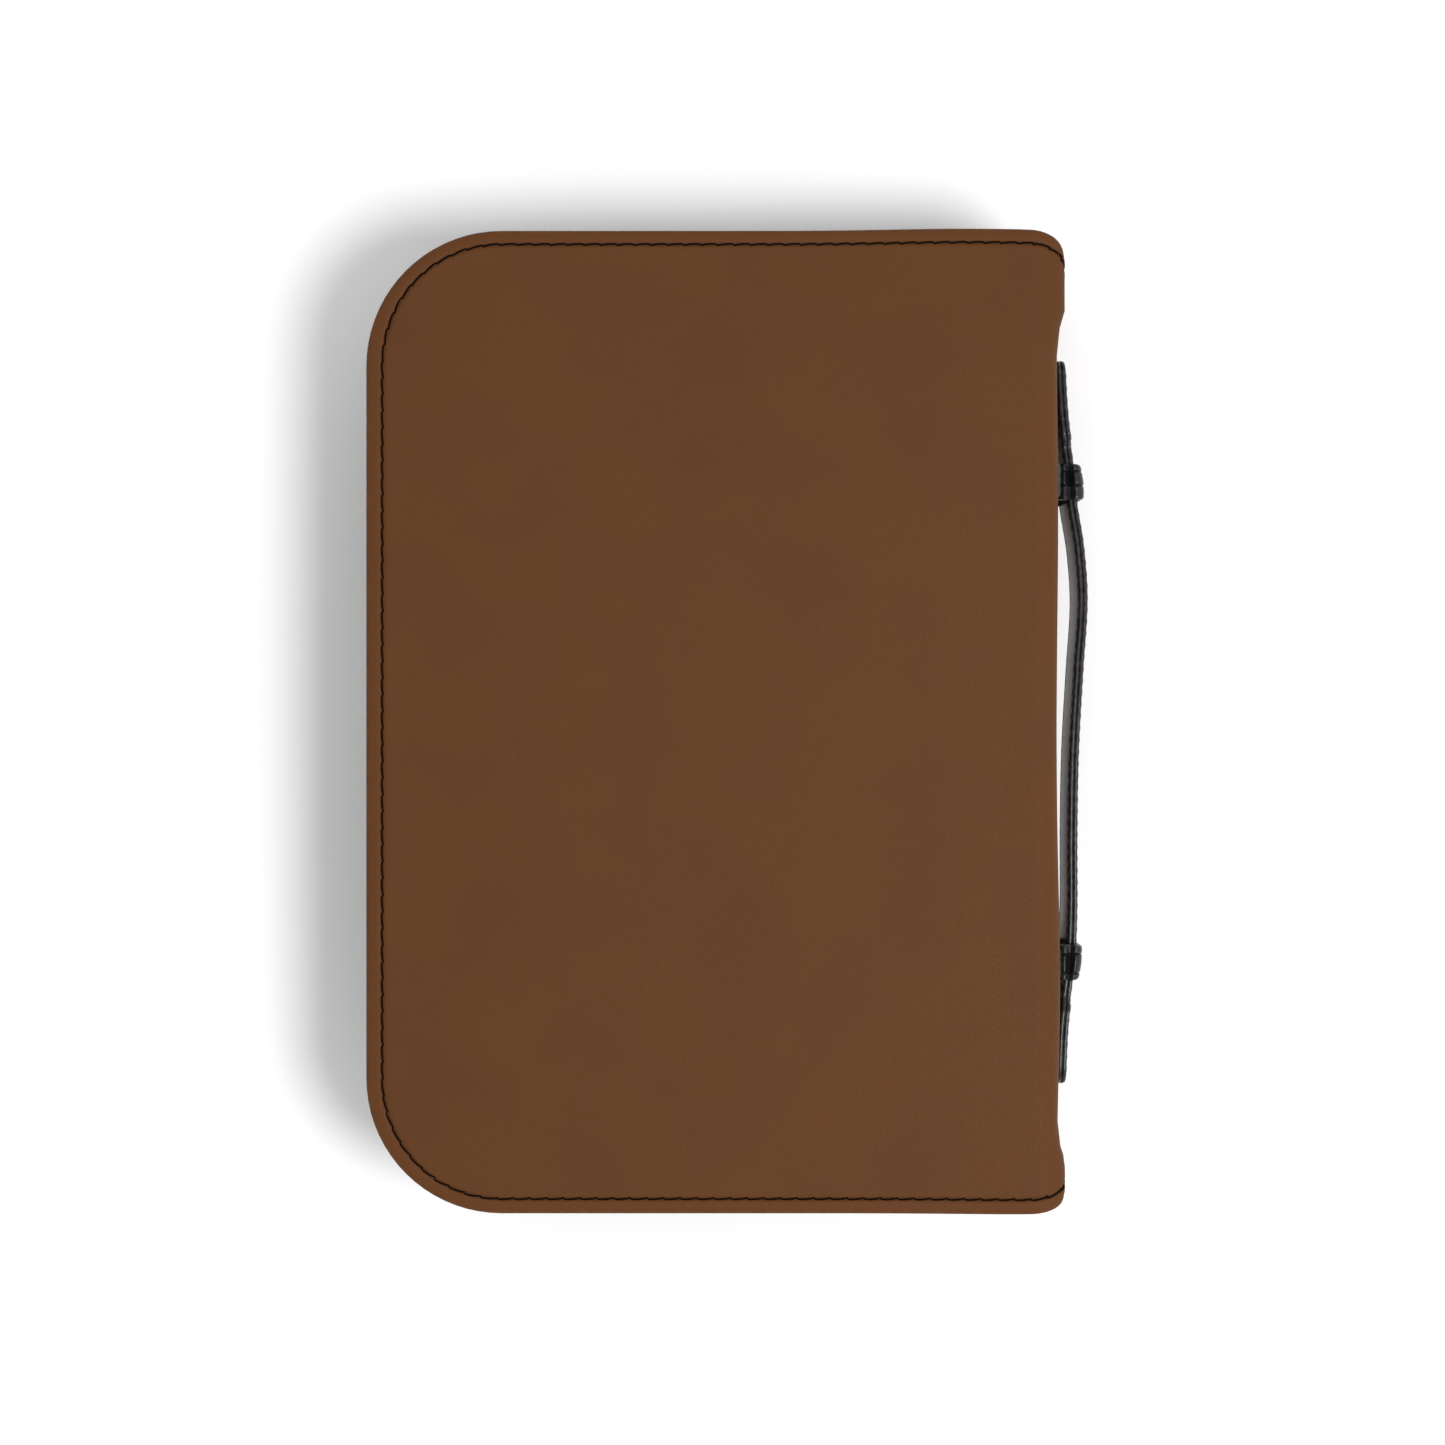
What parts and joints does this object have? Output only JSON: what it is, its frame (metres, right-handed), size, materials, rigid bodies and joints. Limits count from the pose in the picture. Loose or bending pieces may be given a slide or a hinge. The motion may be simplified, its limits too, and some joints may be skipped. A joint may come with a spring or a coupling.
{
  "type": "bible in a zip-around case",
  "caption": "Thick book in a soft leather case with a zip round three sides, opening on two folds beside a spine that carries a sliding strap handle.",
  "frame": {"origin": "centre of the front cover's outer face, on which the closed case lies", "axes": "+Z out of the back cover, +Y towards the head of the book, +X towards the spine"},
  "size_m": [0.1877, 0.254, 0.048],
  "materials": {
    "brown_leather": "smooth, satin",
    "black_leather": "smooth, satin",
    "stiff_board": "matte",
    "lining_cloth": "matte",
    "webbing": "matte",
    "nylon": "satin",
    "black_metal": "satin",
    "book_leather": "satin",
    "pages": "matte",
    "ribbon": "satin"
  },
  "bodies": {
    "front_cover": {"front_cover_leather": "brown_leather", "front_cover_board": "stiff_board", "front_cover_lining": "lining_cloth", "front_bible_sleeve": "lining_cloth", "front_spine_fold": "brown_leather", "front_gusset": "webbing", "front_zip_tape": "webbing", "front_zip_teeth": "nylon", "front_zip_top_stop": "black_metal", "front_zip_bottom_stop": "black_metal", "bible_front_board": "book_leather", "bible_front_pages": "pages", "ribbon_marker": "ribbon", "pen_loop": "webbing"},
    "spine": {"spine_leather": "brown_leather", "spine_board": "stiff_board", "spine_lining": "lining_cloth", "bible_spine": "book_leather", "headband": "ribbon", "tailband": "ribbon", "handle_keeper_head": "black_leather", "handle_keeper_tail": "black_leather"},
    "back_cover": {"back_cover_leather": "brown_leather", "back_cover_board": "stiff_board", "back_cover_lining": "lining_cloth", "back_bible_sleeve": "lining_cloth", "back_spine_fold": "brown_leather", "back_gusset": "webbing", "back_zip_tape": "webbing", "back_zip_teeth": "nylon", "back_zip_top_stop": "black_metal", "back_zip_bottom_stop": "black_metal", "bible_back_board": "book_leather", "bible_back_pages": "pages"},
    "zip_slider": {"zip_slider": "black_metal"},
    "zip_pull": {"zip_pull_link": "black_metal", "zip_pull_tab": "black_leather"},
    "handle_grip": {"handle_grip": "black_leather", "handle_bend_head": "black_leather", "handle_bend_tail": "black_leather"},
    "handle_end_head": {"handle_end_head": "black_leather"},
    "handle_end_tail": {"handle_end_tail": "black_leather"}
  },
  "joints": [
    {"name": "spine_fold", "type": "hinge", "parent": "front_cover", "child": "spine", "pos_m": [0.0869, 0, 0.0013], "axis": [0, 1, 0], "range_deg": [0, 86], "deforming": ["front_spine_fold"]},
    {"name": "back_cover_fold", "type": "hinge", "parent": "spine", "child": "back_cover", "pos_m": [0.0869, 0, 0.0467], "axis": [0, 1, 0], "range_deg": [0, 90], "deforming": ["back_spine_fold"]},
    {"name": "zip_slide", "type": "slide", "parent": "front_cover", "child": "zip_slider", "axis": [-1, 0, 0], "range_m": [0, 0.118], "deforming": ["front_zip_teeth", "back_zip_teeth"]},
    {"name": "pull_swing", "type": "hinge", "parent": "zip_slider", "child": "zip_pull", "pos_m": [0.068, -0.1248, 0.024], "axis": [0, 0, 1], "range_deg": [0, 170]},
    {"name": "handle_lift", "type": "slide", "parent": "spine", "child": "handle_grip", "axis": [1, 0, 0], "range_m": [0, 0.018], "deforming": ["handle_bend_head", "handle_bend_tail"]},
    {"name": "handle_end_head_slide", "type": "slide", "parent": "handle_grip", "child": "handle_end_head", "axis": [-0.9635, -0.2677, 0], "range_m": [0, 0.0188]},
    {"name": "handle_end_tail_slide", "type": "slide", "parent": "handle_grip", "child": "handle_end_tail", "axis": [-0.9635, 0.2677, 0], "range_m": [0, 0.0188]}
  ],
  "couplings": [
    {"joint": "handle_end_head_slide", "follows": "handle_lift", "ratio": 1.0378},
    {"joint": "handle_end_tail_slide", "follows": "handle_lift", "ratio": 1.0378}
  ]
}
